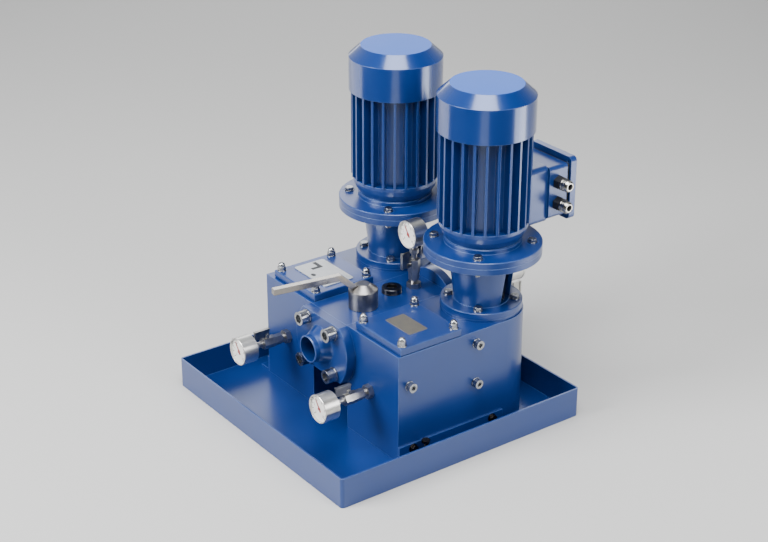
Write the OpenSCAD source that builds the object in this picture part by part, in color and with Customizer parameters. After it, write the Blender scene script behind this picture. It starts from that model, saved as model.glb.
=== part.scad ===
// Twin vertical screw pump station on a drip tray, in millimetres, +Z up.
// The origin is the middle of the tray's underside and the inlet faces -Y.

/* [Drip tray] */
// Outside width of the square tray
tray_w = 500; // [470:1:700]
// Height of the tray's rim above the ground
tray_h = 54; // [40:1:90]
// Thickness of the tray's sheet steel
sheet = 3; // [2:0.5:5]
// Outside radius of the tray's upright corners
tray_corner_r = 6; // [4:0.5:12]

/* [Pump housings] */
// Distance between the two pump shafts
pump_pitch = 245; // [243:1:290]
// Width of one pump housing, and twice the radius of its round back
housing_w = 144; // [142:1:150]
// Height of a housing above the tray floor
housing_h = 195; // [185:1:230]
// Distance of the housings' front faces in front of the origin
front_reach = 98; // [90:1:115]
// Distance of the pump shafts behind the origin
shaft_back = 131; // [125:1:140]
// Radius of the filter chamber
filter_r = 46; // [36:0.5:48]

/* [Centre block] */
// Height of the centre block that bridges the two housings
block_h = 103; // [100:1:106]
// Distance of the centre block's rear face behind the origin
block_back = 118; // [112:1:122]
// Height of the port axis above the centre block's underside
port_up = 50; // [48:0.5:51]

/* [Pipe flanges] */
// Outside diameter of a flange
flange_d = 150; // [145:1:150]
// Thickness of a flange plate
flange_t = 18; // [14:0.5:22]
// Pitch circle diameter of the flange screws
flange_pcd = 110; // [104:0.5:110]
// Outside diameter of the pipe end
pipe_d = 48.3; // [42:0.1:54]
// Inside diameter of the pipe end
pipe_bore = 43.1; // [34:0.1:46]
// Length of a flange from its back to the pipe end
flange_len = 45; // [38:0.5:70]

/* [Filter covers] */
// Width of a square filter cover
cover_w = 124; // [118:0.5:126]
// Thickness of a filter cover
cover_t = 12.5; // [9:0.5:16]
// Distance between the cover studs
stud_pitch = 106; // [100:0.5:108]
// Shift of a cover's centre to the right of its pump shaft
cover_dx = 8.5; // [0:0.5:9]
// Distance of a cover's centre in front of the origin
cover_front = 30.5; // [29:0.5:33]

/* [Screw set] */
// Distance between the drive screw and an idler screw
screw_pitch_d = 21; // [19:0.5:21.5]
// Length of the screw threads
thread_len = 78; // [60:1:79]
// Turns of the thread over that length
thread_turns = 1.2; // [1:0.1:1.4]
// Gap between the screw flanks and between screws and bores
screw_gap = 0.3; // [0.25:0.05:0.5]

/* [Lantern] */
// Height of the lantern between the seal cover and the motor flange
lantern_h = 107.5; // [106:0.5:130]
// Radius of the lantern's base ring
ring_r = 70; // [68:0.5:70]
// Thickness of the lantern's base ring
ring_t = 12; // [9:0.5:15]
// Outside radius of the lantern wall at its foot
wall_foot_r = 47; // [45:0.5:47.5]
// Outside radius of the lantern wall at its top
wall_top_r = 58; // [52:0.5:60]
// Thickness of the lantern wall
wall_t = 7; // [5:0.5:8]
// Width of each coupling window
window_w = 39; // [30:1:50]
// Turn of the windows away from the X axis, in degrees
window_turn = 27.5; // [10:0.5:34]

/* [Motors] */
// Diameter of the motor flange
motor_flange_d = 200; // [196:1:210]
// Thickness of the motor flange
motor_flange_t = 11; // [9:0.5:14]
// Pitch circle diameter of the motor flange screws
motor_pcd = 165; // [160:0.5:170]
// Radius of the motor body between the fins
body_r = 62; // [60:0.5:66]
// Radius over the fin tips
fin_r = 77.8; // [74:0.1:79]
// Thickness of a fin
fin_t = 4; // [2.5:0.25:5]
// Number of fins
fin_count = 24; // [16:1:30]
// Length of the finned frame
frame_len = 182; // [175:1:220]
// Radius of the fan cowl
cowl_r = 81.6; // [80.6:0.1:86]
// Height of the fan cowl
cowl_h = 78; // [74:1:95]
// Diameter of the motor shaft
motor_shaft_d = 19; // [16:0.5:20]

/* [Terminal boxes] */
// Width of a terminal box across the glands
tbox_w = 98; // [90:1:104]
// Distance of a terminal box's lid face from the motor shaft
tbox_reach = 155; // [148:1:165]
// Distance between the two cable glands of a box
gland_pitch = 38; // [30:1:42]

/* [Changeover lever] */
// Diameter of the lever hub
hub_d = 46.6; // [40:0.2:48]
// Height of the lever hub
hub_h = 43; // [38:0.5:50]
// Reach of the lever from the hub's axis to its end
lever_reach = 166; // [120:1:200]
// Height of the lever's long run above the centre block
lever_rise = 69.5; // [62:0.5:80]
// Thickness of the lever bar across its flats
lever_bar = 10.5; // [8:0.5:12]
// Turn of the lever towards the left filter, in degrees
lever_turn = 9; // [0:1:20]

/* [Gauges] */
// Diameter of a gauge over its bezel
gauge_d = 50; // [44:0.5:52]
// Depth of a gauge from its back to its bezel
gauge_depth = 28.6; // [24:0.2:34]
// Length of a gauge cock from its seat to the gauge
cock_len = 77; // [70:0.5:90]
// Height of the front gauges above the tray floor
gauge_up = 100.5; // [92:0.5:110]

/* [Fits] */
// Radial clearance of pieces that are bolted or pressed together
fit = 0.1; // [0.05:0.01:0.1]
// Running clearance between pieces that turn in each other
run = 0.3; // [0.2:0.05:0.4]

/* [Hidden] */
$fn = 72;

// Levels, counted up from the ground
floor_z = sheet;
top_z = floor_z + housing_h;
block_z = top_z - block_h;
port_z = block_z + port_up;
seal_cover_t = 4.5;
ring_z = top_z + seal_cover_t;
lantern_top_z = ring_z + lantern_h;
flange_top_z = lantern_top_z + motor_flange_t;
endshield_h = 37;
frame_z = flange_top_z + endshield_h;
frame_top_z = frame_z + frame_len;
cowl_lap = 22;
cowl_z = frame_top_z - cowl_lap;
cowl_top_z = cowl_z + cowl_h;

// Plan positions
shaft_x = pump_pitch / 2;
housing_r = housing_w / 2;
front_y = -front_reach;
block_w = pump_pitch - housing_w;
chamber_y = -cover_front;
lever_x = 9.5;
lever_y = -34.5;
relief_x = -7;
relief_y = 38;
top_gauge_y = 80.5;

// Screw set, after the usual proportions of a three-screw pump
screw_r = screw_pitch_d / 2;
drive_tip_r = screw_r * 5 / 3;
idler_root_r = screw_r / 3;
insert_r = screw_pitch_d + screw_r + 5.5;
thread_z = floor_z + 47;
thread_top_z = thread_z + thread_len;
insert_z = thread_z - 8;
insert_top_z = thread_top_z + 4;
journal_r = 7;
drive_shaft_r = 10;
pump_shaft_top_z = ring_z + 51;

// Fasteners
m8_r = 4;
m8_af = 13;
m8_head = 5.3;
m16_r = 8;
lantern_bolt_r = 56.5;
flange_bolt = flange_pcd / 2 * sin(45);
motor_bolt = motor_pcd / 2 * sin(45);
lantern_flange_t = 10.5;
spigot_r = 65;
spigot_h = 3.5;

paint = "RoyalBlue";
steel = "Silver";
dark_steel = "DimGray";

// Sides of the station: left pump, then right pump
SIDES = [-1, 1];
function side_x(s) = s * shaft_x;
function cover_x(s) = side_x(s) + cover_dx;

// Small shapes that several pieces share

// Upright ring between two radii
module ring(outer, inner, h) {
    difference() {
        cylinder(r = outer, h = h);
        translate([0, 0, -1]) cylinder(r = inner, h = h + 2);
    }
}

// Cylinder that lies along +Y from its start
module rod_y(r, h) { rotate([-90, 0, 0]) cylinder(r = r, h = h); }

// Cylinder that lies along +X from its start
module rod_x(r, h) { rotate([0, 90, 0]) cylinder(r = r, h = h); }

// Hexagonal prism with its size across flats
module hex(af, h) { cylinder(d = af / cos(30), h = h, $fn = 6); }

// Slab with rounded upright corners, centred in plan
module rounded_slab(w, d, h, r) {
    translate([-w / 2 + r, -d / 2, 0]) cube([w - 2 * r, d, h]);
    translate([-w / 2, -d / 2 + r, 0]) cube([w, d - 2 * r, h]);
    for (x = [-1, 1], y = [-1, 1])
        translate([x * (w / 2 - r), y * (d / 2 - r), 0]) cylinder(r = r, h = h);
}

// Square plate with chamfered upper edges, centred in plan
module chamfer_plate(w, d, h, c) {
    intersection() {
        rotate([90, 0, 0]) translate([0, 0, -d / 2]) linear_extrude(d)
            polygon([[-w / 2, 0], [w / 2, 0], [w / 2, h - c], [w / 2 - c, h],
                     [-w / 2 + c, h], [-w / 2, h - c]]);
        rotate([90, 0, 90]) translate([0, 0, -w / 2]) linear_extrude(w)
            polygon([[-d / 2, 0], [d / 2, 0], [d / 2, h - c], [d / 2 - c, h],
                     [-d / 2 + c, h], [-d / 2, h - c]]);
    }
}

// Four copies on the corners of a square
module at_corners(half) {
    for (x = [-1, 1], y = [-1, 1]) translate([x * half, y * half, 0]) children();
}

// Hexagon bolt that hangs below its seat at z = 0, with its washer
module hex_bolt(r, af, head, shank) {
    difference() {
        union() {
            translate([0, 0, 1.6]) hex(af, head);
            translate([0, 0, -shank]) cylinder(r = r, h = shank + 2);
        }
        translate([0, 0, 1.6 + head - 0.6]) ring(af, af / 2, 2);
    }
    ring(r * 2, r + 0.2, 1.6);
}

// Socket head screw that hangs below its seat at z = 0
module socket_screw(r, head_r, head, shank, key) {
    difference() {
        union() {
            cylinder(r = head_r, h = head);
            translate([0, 0, -shank]) cylinder(r = r, h = shank + 1);
        }
        translate([0, 0, head * 0.45]) hex(key, head);
    }
}

// Tray and feet

module drip_tray() {
    color(paint) difference() {
        rounded_slab(tray_w, tray_w, tray_h, tray_corner_r);
        translate([0, 0, sheet])
            rounded_slab(tray_w - 2 * sheet, tray_w - 2 * sheet, tray_h, tray_corner_r - sheet);
        foot_tray_points() translate([0, 0, -sheet - 1]) cylinder(r = m8_r + fit, h = sheet + 2);
    }
}

foot_leg = 29;
foot_t = 4;
foot_len = 220;
foot_bolt_up = 20;
foot_bolt_front = 28;
foot_bolt_back = 196;
foot_tray_out = 15;
foot_tray_along = 46;
tray_stud_up = 26;

// Places of the bolts that go through a foot angle into the tray
module foot_tray_points() {
    for (s = SIDES)
        translate([s * (shaft_x + housing_r + foot_tray_out), front_y + foot_tray_along, floor_z])
            children();
}

// Places of the bolts that go through a foot angle into a housing, +Z outwards
module foot_side_points() {
    for (s = SIDES, y = [foot_bolt_front, foot_bolt_back])
        translate([s * (shaft_x + housing_r), front_y + y, floor_z + foot_bolt_up])
            rotate([0, s * 90, 0]) children();
}

module foot_angles() {
    color(paint) difference() {
        for (s = SIDES) translate([s * (shaft_x + housing_r), front_y, floor_z])
            mirror([s < 0 ? 1 : 0, 0, 0]) {
                cube([foot_t, foot_len, foot_leg]);
                cube([foot_leg - 3, foot_len, foot_t]);
            }
        foot_side_points() translate([0, 0, -1]) cylinder(r = m8_r + fit, h = foot_t + 2);
        foot_tray_points() translate([0, 0, -1]) cylinder(r = m8_r + fit, h = foot_t + 2);
    }
}

module m8_bolts() {
    color(steel) {
        foot_side_points() translate([0, 0, foot_t]) hex_bolt(m8_r, m8_af, m8_head, foot_t + 14);
        foot_tray_points() translate([0, 0, foot_t]) tray_stud();
        for (s = SIDES) translate([side_x(s), shaft_back, ring_z + ring_t])
            at_corners(lantern_bolt_r * sin(45))
                hex_bolt(m8_r, m8_af, m8_head, ring_t + seal_cover_t + 18);
    }
}

// Tall screw down to the tray's underside, with a nut that clamps the foot angle at z = 0
module tray_stud() {
    ring(2 * m8_r, m8_r + 0.2, 1.6);
    translate([0, 0, 1.6]) difference() {
        hex(m8_af, nut_t);
        translate([0, 0, -1]) cylinder(r = m8_r + 0.05, h = nut_t + 2);
    }
    translate([0, 0, tray_stud_up]) hex(m8_af, m8_head);
    translate([0, 0, -foot_t - sheet + 0.5]) cylinder(r = m8_r, h = tray_stud_up + foot_t + sheet);
}

// Pump housings and centre block

side_plugs = [[161, 172.5], [161, 99], [22, 137.5]];
plug_r = 5;
duct_r = 13;
lower_duct_z = floor_z + 30;
outlet_duct_y = 100;
relief_pocket_r = flange_d / 2 + 1.5;
basket_lip_t = 4;
rear_port_x = 100;
rear_port_up = 120.5;
rear_spot_r = 23;
rear_flat_y = shaft_back + sqrt(pow(housing_r, 2) - pow(rear_port_x - shaft_x, 2)) - 3;

module housing_blank(s) {
    translate([side_x(s) - housing_r, front_y, floor_z])
        cube([housing_w, shaft_back - front_y, housing_h]);
    translate([side_x(s), shaft_back, floor_z]) cylinder(r = housing_r, h = housing_h);
}

module housing(s) {
    difference() {
        housing_blank(s);
        // bore of the screw insert and the suction room below it
        translate([side_x(s), shaft_back, insert_z]) cylinder(r = insert_r + fit, h = housing_h);
        translate([side_x(s), shaft_back, floor_z + 14]) cylinder(r = insert_r - 4, h = housing_h);
        // filter chamber with the ledge of the basket
        translate([cover_x(s), chamber_y, floor_z + 14]) cylinder(r = filter_r, h = housing_h);
        translate([cover_x(s), chamber_y, top_z - basket_lip_t - 0.3])
            cylinder(r = filter_r + 3, h = housing_h);
        // duct from the chamber to the suction room
        translate([side_x(s), chamber_y, lower_duct_z]) rod_y(duct_r, shaft_back - chamber_y);
        // ducts to the centre block
        translate([s > 0 ? block_w / 2 - 1 : cover_x(s), lever_y, port_z])
            rod_x(duct_r, abs(s > 0 ? cover_x(s) - block_w / 2 : cover_x(s) + block_w / 2) + 1);
        translate([s > 0 ? block_w / 2 - 1 : side_x(s), outlet_duct_y, port_z])
            rod_x(duct_r, shaft_x - block_w / 2 + 1);
        // round recess that lets the outlet flange in
        translate([0, block_back - 0.5, port_z]) rod_y(relief_pocket_r, shaft_back);
        // holes of the studs, lantern bolts, plugs, foot bolts and gauge ports
        translate([cover_x(s), chamber_y, top_z - 20]) at_corners(stud_pitch / 2)
            cylinder(r = m8_r + fit, h = 30);
        translate([side_x(s), shaft_back, top_z - 19]) at_corners(lantern_bolt_r * sin(45))
            cylinder(r = m8_r + fit, h = 30);
        side_plug_points(s) translate([0, 0, -14]) cylinder(r = plug_r + fit, h = 20);
        foot_side_points() translate([0, 0, -15]) cylinder(r = m8_r + fit, h = 20);
        front_gauge_point(s) translate([0, 0, -20]) cylinder(r = 6 + fit, h = 30);
        if (s > 0) translate([rear_port_x, rear_flat_y, floor_z + rear_port_up]) {
            rod_y(rear_spot_r, housing_r);
            translate([0, -16, 0]) rod_y(6 + fit, 30);
        }
    }
}

// Places of the duct plugs on a housing's outer side, +Z outwards
module side_plug_points(s) {
    for (p = side_plugs)
        translate([s * (shaft_x + housing_r), front_y + p[0], floor_z + p[1]])
            rotate([0, s * 90, 0]) children();
}

// Seat of a front gauge, +Z outwards and +Y upwards
front_gauge_dx = -6;
module front_gauge_point(s) {
    translate([side_x(s) + front_gauge_dx, front_y, floor_z + gauge_up])
        rotate([90, 0, 0]) children();
}

module housing_left() { color(paint) housing(-1); }
module housing_right() { color(paint) housing(1); }

spindle_r = 19;
valve_port_r = 12;
piston_r = 12;
piston_seat_z = port_z + pipe_bore / 2 + 2.5;

module centre_block() {
    color(paint) difference() {
        translate([-block_w / 2, front_y, block_z])
            cube([block_w, block_back - front_y, block_h]);
        // inlet bore, its narrower port to the changeover valve, and outlet bore
        translate([0, front_y - 1, port_z]) rod_y(pipe_bore / 2, lever_y - spindle_r - 2 - front_y);
        translate([lever_x, lever_y - spindle_r - 4, port_z]) rod_y(valve_port_r, spindle_r + 4);
        translate([0, outlet_duct_y - 74, port_z]) rod_y(pipe_bore / 2, block_back);
        // cross ducts to both housings
        for (y = [lever_y, outlet_duct_y])
            translate([-block_w / 2 - 1, y, port_z]) rod_x(duct_r, block_w + 2);
        // bore of the changeover spindle
        translate([lever_x, lever_y, block_z + 12]) cylinder(r = spindle_r, h = block_h);
        // relief valve bore and its seat
        translate([relief_x, relief_y, piston_seat_z]) cylinder(r = piston_r, h = block_h);
        translate([relief_x, relief_y, port_z]) cylinder(r = piston_r - 4, h = block_h);
        // top gauge port
        translate([0, top_gauge_y, top_z - 18]) cylinder(r = 6 + fit, h = 30);
        // holes of the flange screws
        for (m = [0, 1], x = [-1, 1], z = [-1, 1])
            translate([x * flange_bolt, m == 0 ? front_y - 1 : block_back - 27, port_z + z * flange_bolt])
                rod_y(m16_r + fit, 28);
    }
}

// Pipe flanges, with the back on y = 0 and the pipe end towards -Y

collar_r = 33;
pipe_end = 10;
seal_r = 29;
seal_wire = 2.5;

module weld_flange() {
    difference() {
        rotate([90, 0, 0]) rotate_extrude()
            polygon([[pipe_bore / 2, 0], [flange_d / 2, 0], [flange_d / 2, flange_t - 1],
                     [flange_d / 2 - 1, flange_t], [collar_r + 2, flange_t], [collar_r, flange_t + 2],
                     [pipe_d / 2 + 3, flange_len - pipe_end - 4], [pipe_d / 2, flange_len - pipe_end],
                     [pipe_d / 2, flange_len - 1], [pipe_d / 2 - 1, flange_len],
                     [pipe_bore / 2, flange_len]]);
        for (x = [-1, 1], z = [-1, 1])
            translate([x * flange_bolt, -flange_t - 1, z * flange_bolt]) rod_y(m16_r + 1, flange_t + 2);
        rotate([90, 0, 0]) rotate_extrude() translate([seal_r, 0]) circle(r = seal_wire, $fn = 24);
    }
}

module inlet_flange() {
    color(paint) translate([0, front_y, 0]) intersection() {
        translate([0, 0, port_z]) weld_flange();
        translate([-flange_d, -flange_len - 1, block_z]) cube([2 * flange_d, flange_len + 2, block_h]);
    }
}

module outlet_flange() {
    color(paint) translate([0, block_back, port_z]) rotate([0, 0, 180]) weld_flange();
}

washer_t = 3;
module flange_screws() {
    color(steel) for (m = [0, 1]) translate([0, m == 0 ? front_y : block_back, port_z])
        rotate([90, 0, m == 0 ? 0 : 180]) at_corners(flange_bolt)
            translate([0, 0, flange_t]) {
                ring(12.8, m16_r + 0.3, washer_t);
                translate([0, 0, washer_t]) socket_screw(m16_r, 12, 16, flange_t + washer_t + 24, 14);
            }
}

gasket_t = 1;
module seals() {
    color("Black") {
        for (y = [front_y - seal_wire * 0.3, block_back + seal_wire * 0.3])
            translate([0, y, port_z]) rotate([90, 0, 0]) rotate_extrude()
                translate([seal_r, 0]) intersection() {
                    circle(r = seal_wire * 0.65, $fn = 24);
                    square([seal_wire * 1.6, seal_wire * 0.6], center = true);
                }
        for (s = SIDES) translate([cover_x(s), chamber_y, top_z]) difference() {
            translate([-cover_w / 2 + 1, -cover_w / 2 + 1, 0]) cube([cover_w - 2, cover_w - 2, gasket_t]);
            translate([0, 0, -1]) cylinder(r = filter_r + 3, h = gasket_t + 2);
            translate([0, 0, -1]) at_corners(stud_pitch / 2) cylinder(r = m8_r + 0.5, h = gasket_t + 2);
        }
        for (s = SIDES) {
            translate([side_x(s), shaft_back, shaft_seal_z])
                ring(shaft_seal_r - fit, drive_shaft_r + run, shaft_seal_h - 0.2);
            difference() {
                back_slab(s, tbox_near + tbox_d, tbox_w - 2, tbox_h - 2, tbox_gasket_t, 5, tbox_up);
                back_slab(s, tbox_near + tbox_d - 1, tbox_w - 12, tbox_h - 12, tbox_gasket_t + 2, 3, tbox_up);
            }
        }
    }
}

// Filter covers, their studs, cap nuts, baskets and plates

cover_z = top_z + gasket_t;
cover_top_z = cover_z + cover_t;

module filter_cover(s) {
    translate([cover_x(s), chamber_y, cover_z]) difference() {
        chamfer_plate(cover_w, cover_w, cover_t, 1.2);
        translate([0, 0, -1]) at_corners(stud_pitch / 2) cylinder(r = m8_r + 0.5, h = cover_t + 2);
        // hollow of the cover over the basket
        translate([0, 0, -1]) cylinder(r = filter_r - 4, h = cover_t - 5);
    }
}
module filter_covers() { color(paint) for (s = SIDES) filter_cover(s); }

// Cap nut with its washer and stud, seated at z = 0
stud_in = 19;
nut_dome_r = 5.9;
module cap_nut() {
    ring(2 * m8_r, m8_r + 0.2, 1.6);
    translate([0, 0, 1.6]) difference() {
        union() {
            hex(m8_af, 6.5);
            translate([0, 0, 6.5]) cylinder(r = nut_dome_r, h = 2);
            translate([0, 0, 8.5]) intersection() {
                sphere(r = nut_dome_r);
                translate([-7, -7, 0]) cube(14);
            }
        }
        translate([0, 0, -1]) cylinder(r = m8_r + 0.05, h = 10);
    }
    stud_low = cover_t + gasket_t + stud_in;
    translate([0, 0, -stud_low]) cylinder(r = m8_r, h = stud_low + 9);
}

module cover_nuts() {
    color(steel) for (s = SIDES) translate([cover_x(s), chamber_y, cover_top_z])
        at_corners(stud_pitch / 2) cap_nut();
}

basket_r = filter_r - 7;
basket_floor_up = 24;
basket_h = housing_h - basket_floor_up;
basket_bars = 12;
module strainer_basket() {
    // lip that hangs in the ledge, hoops, bars, gauze sleeve and floor
    translate([0, 0, basket_h - basket_lip_t]) ring(filter_r + 3 - run, basket_r - 2, basket_lip_t);
    ring(basket_r - 1, basket_r - 2, basket_h - 1);
    cylinder(r = basket_r, h = 3);
    for (z = [1 : 3]) translate([0, 0, z * basket_h / 4]) ring(basket_r + 1, basket_r - 1.5, 4);
    for (k = [1 : basket_bars]) rotate([0, 0, k * 360 / basket_bars])
        translate([basket_r - 1.5, -2, 0]) cube([2.5, 4, basket_h - 1]);
    // bail for lifting the basket out
    translate([-basket_r + 1, -2, basket_h - 26]) cube([2 * basket_r - 2, 4, 4]);
}
module strainers() {
    color(steel) for (s = SIDES)
        translate([cover_x(s), chamber_y, top_z - basket_h - 0.2]) strainer_basket();
}

switch_plate = [96, 62, 1.5];
bare_plate = [66, 38, 1];
module cover_plates() {
    color("Gainsboro") {
        translate([cover_x(-1), chamber_y, cover_top_z])
            rounded_slab(switch_plate[0], switch_plate[1], switch_plate[2], 5);
        translate([cover_x(1) - 3, chamber_y - 2, cover_top_z])
            rounded_slab(bare_plate[0], bare_plate[1], bare_plate[2], 1.5);
    }
}

module port_plugs() {
    color(steel) for (s = SIDES) side_plug_points(s) {
        ring(8.5, plug_r + 0.2, 1.5);
        translate([0, 0, 1.5]) socket_screw(plug_r, 8, 10, 14, 8);
    }
}

// Screw set in its insert

// Point of the cycloid that a point at radius tip on one screw draws on the other
function flank_point(tip, a) = [
    2 * screw_r * cos(a) - tip * cos(2 * a),
    2 * screw_r * sin(a) - tip * sin(2 * a)
];
function polar(r, a) = [r * cos(a), r * sin(a)];
function flank_angle(tip, r) =
    acos(min(1, (pow(2 * screw_r, 2) + pow(tip, 2) - pow(r, 2)) / (4 * screw_r * tip)));

flank_steps = 5;
tip_steps = 3;

// Radius and angle of the points of one flank, from its root at lo to its tip at hi
function flank(tip, lo, hi) = [
    for (k = [0 : flank_steps])
        let (r = lo + (hi - lo) * pow(k / flank_steps, 1.4), p = flank_point(tip, flank_angle(tip, r)))
        [norm(p), atan2(p[1], p[0])]
];
drive_flank = flank(screw_r, screw_r, drive_tip_r);
idler_flank = flank(drive_tip_r, idler_root_r, screw_r);
flank_span = abs(drive_flank[flank_steps][1] - drive_flank[0][1]);

// Angle of point k of a flank away from the tooth's tip edge, below zero where the flank is undercut
function flank_turn(f, k) = abs(f[flank_steps][1]) - abs(f[k][1]);

// Closed outline of a two-start screw with flank list f and half the angle of its tooth tip
function two_start(f, tip_half, root_steps) = [
    for (t = [0, 180]) each concat(
        [for (k = [0 : flank_steps]) polar(f[k][0] - screw_gap, t - tip_half - flank_turn(f, k))],
        [for (k = [1 : tip_steps - 1])
            polar(f[flank_steps][0] - screw_gap, t - tip_half + 2 * tip_half * k / tip_steps)],
        [for (k = [flank_steps : -1 : 0])
            polar(f[k][0] - screw_gap, t + tip_half + flank_turn(f, k))],
        [for (k = [1 : root_steps - 1])
            polar(f[0][0] - screw_gap, t + tip_half + flank_turn(f, 0)
                + (180 - 2 * tip_half - 2 * flank_turn(f, 0)) * k / root_steps)])
];

thread_slices = 22;
outline_points = 48;
drive_tip_half = 19;
flank_play = 2.5;
idler_tip_half = 90 - drive_tip_half - flank_span - flank_play;
thread_rate = 360 * thread_turns / thread_len;
idler_end = 1;
insert_plate_t = 5.5;
journal_z = insert_z + 0.5;
neck_r = 9;
neck_len = 7;

module drive_thread() {
    linear_extrude(thread_len, twist = -thread_rate * thread_len, slices = thread_slices,
                   $fn = outline_points)
        polygon(two_start(drive_flank, drive_tip_half, 3));
}

// Idler thread, a little longer than the drive thread and in mesh with it on its +Y or -Y side
module idler_thread() {
    len = thread_len + 2 * idler_end;
    rotate([0, 0, 90 + thread_rate * idler_end])
        linear_extrude(len, twist = thread_rate * len, slices = thread_slices, $fn = outline_points)
            polygon(two_start(idler_flank, idler_tip_half, 1));
}

module drive_screw(s) {
    translate([side_x(s), shaft_back, 0]) {
        translate([0, 0, thread_z]) drive_thread();
        translate([0, 0, journal_z]) cylinder(r = journal_r, h = thread_z - journal_z + 1);
        translate([0, 0, thread_top_z - 1]) cylinder(r = neck_r, h = neck_len);
        translate([0, 0, thread_top_z + neck_len - 2])
            cylinder(r = drive_shaft_r, h = pump_shaft_top_z - thread_top_z - neck_len + 2);
        translate([0, 0, pump_bearing_z]) inner_race(drive_shaft_r);
    }
}
module drive_screw_left() { color(steel) drive_screw(-1); }
module drive_screw_right() { color(steel) drive_screw(1); }

// Idler screw in front of (m = -1) or behind (m = 1) the drive screw. An undercut parts the
// thread from each journal.
undercut = 0.8;
idler_journal_h = 8;
module idler(s, m) {
    core_r = idler_root_r - screw_gap - 0.7;
    low_end = thread_z - idler_end - undercut;
    high_end = thread_top_z + idler_end + undercut;
    translate([side_x(s), shaft_back + m * screw_pitch_d, 0]) {
        translate([0, 0, thread_z - idler_end]) idler_thread();
        translate([0, 0, low_end - 1]) cylinder(r = core_r, h = high_end - low_end + 2);
        translate([0, 0, journal_z]) cylinder(r = journal_r, h = low_end - journal_z);
        translate([0, 0, high_end]) cylinder(r = journal_r, h = idler_journal_h);
    }
}
module idler_left_front() { color(steel) idler(-1, -1); }
module idler_left_rear() { color(steel) idler(-1, 1); }
module idler_right_front() { color(steel) idler(1, -1); }
module idler_right_rear() { color(steel) idler(1, 1); }

module screw_inserts() {
    insert_len = insert_top_z - insert_z;
    color("Tan") for (s = SIDES) translate([side_x(s), shaft_back, insert_z]) difference() {
        cylinder(r = insert_r - fit, h = insert_len);
        translate([0, 0, insert_plate_t]) cylinder(r = drive_tip_r, h = insert_len);
        for (y = [-1, 1]) translate([0, y * screw_pitch_d, insert_plate_t])
            cylinder(r = screw_r, h = insert_len);
        // journal bores, and suction holes between them
        for (y = [-1 : 1]) translate([0, y * screw_pitch_d, -1])
            cylinder(r = journal_r + run, h = insert_plate_t + 2);
        for (x = [-12, 12], y = [-5, 5]) translate([x, y, -1]) cylinder(r = 3.2, h = insert_plate_t + 2);
    }
}

// Seal cover and bearings

bearing_r = 23.5;
bearing_w = 14;
race_in_r = 13.4;
race_out_r = 20.1;
ball_r = 3;
ball_count = 8;
ball_pitch_r = (race_in_r + race_out_r) / 2;
cover_spigot = 14;
boss_r = 34;
boss_h = 11.5;
pump_bearing_z = top_z - 2;
shaft_seal_r = 16;
shaft_seal_z = top_z - cover_spigot + 1;
shaft_seal_h = 7;

// Inner race of a ball bearing on a shaft
module inner_race(shaft_r) { ring(race_in_r, shaft_r + fit, bearing_w); }

// Outer race with its balls, which a cage ring joins
module outer_race() {
    ring(bearing_r - fit, race_out_r, bearing_w);
    translate([0, 0, bearing_w / 2 - 0.6]) ring(ball_pitch_r + 1.6, ball_pitch_r - 1.6, 1.2);
    for (k = [1 : ball_count]) rotate([0, 0, k * 360 / ball_count])
        translate([ball_pitch_r, 0, bearing_w / 2]) sphere(r = ball_r);
}

module ball_bearings() {
    color(steel) for (s = SIDES, z = [pump_bearing_z, drive_bearing_z, rear_bearing_z])
        translate([side_x(s), shaft_back, z]) outer_race();
}

module seal_covers() {
    color(paint) for (s = SIDES) translate([side_x(s), shaft_back, 0]) difference() {
        union() {
            translate([0, 0, top_z]) cylinder(r = ring_r - 0.5, h = seal_cover_t);
            translate([0, 0, top_z - cover_spigot]) cylinder(r = insert_r - fit, h = cover_spigot + 1);
            translate([0, 0, top_z]) cylinder(r = boss_r, h = seal_cover_t + boss_h);
        }
        translate([0, 0, top_z - cover_spigot - 1]) cylinder(r = drive_shaft_r + run, h = 60);
        translate([0, 0, top_z - cover_spigot - 1])
            cylinder(r = shaft_seal_r, h = shaft_seal_z + shaft_seal_h - top_z + cover_spigot + 1);
        translate([0, 0, pump_bearing_z]) cylinder(r = bearing_r, h = 60);
        translate([0, 0, top_z - 1]) at_corners(lantern_bolt_r * sin(45))
            cylinder(r = m8_r + fit, h = 20);
    }
}

// Lanterns

lantern_in_r = wall_foot_r - wall_t;
window_sill = 1;
motor_flange_r = motor_flange_d / 2;

module lantern(s) {
    flange_low = lantern_h - lantern_flange_t;
    translate([side_x(s), shaft_back, ring_z]) difference() {
        rotate_extrude() polygon([
            [lantern_in_r, 0], [ring_r, 0], [ring_r, ring_t - 1], [ring_r - 1, ring_t],
            [wall_foot_r, ring_t], [wall_top_r, flange_low],
            [motor_flange_r, flange_low], [motor_flange_r, lantern_h], [spigot_r + fit, lantern_h],
            [spigot_r + fit, lantern_h - spigot_h - 0.3], [wall_top_r - wall_t, lantern_h - spigot_h - 0.3],
            [wall_top_r - wall_t, flange_low], [lantern_in_r, ring_t]
        ]);
        rotate([0, 0, window_turn])
            translate([-ring_r, -window_w / 2, ring_t + window_sill])
                cube([2 * ring_r, window_w, flange_low - ring_t - 2 * window_sill]);
        translate([0, 0, -1]) at_corners(lantern_bolt_r * sin(45)) cylinder(r = m8_r + fit, h = ring_t + 2);
        translate([0, 0, flange_low - 1]) at_corners(motor_bolt)
            cylinder(r = m8_r + fit, h = lantern_flange_t + 2);
    }
}
module lantern_left() { color(paint) lantern(-1); }
module lantern_right() { color(paint) lantern(1); }

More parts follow.
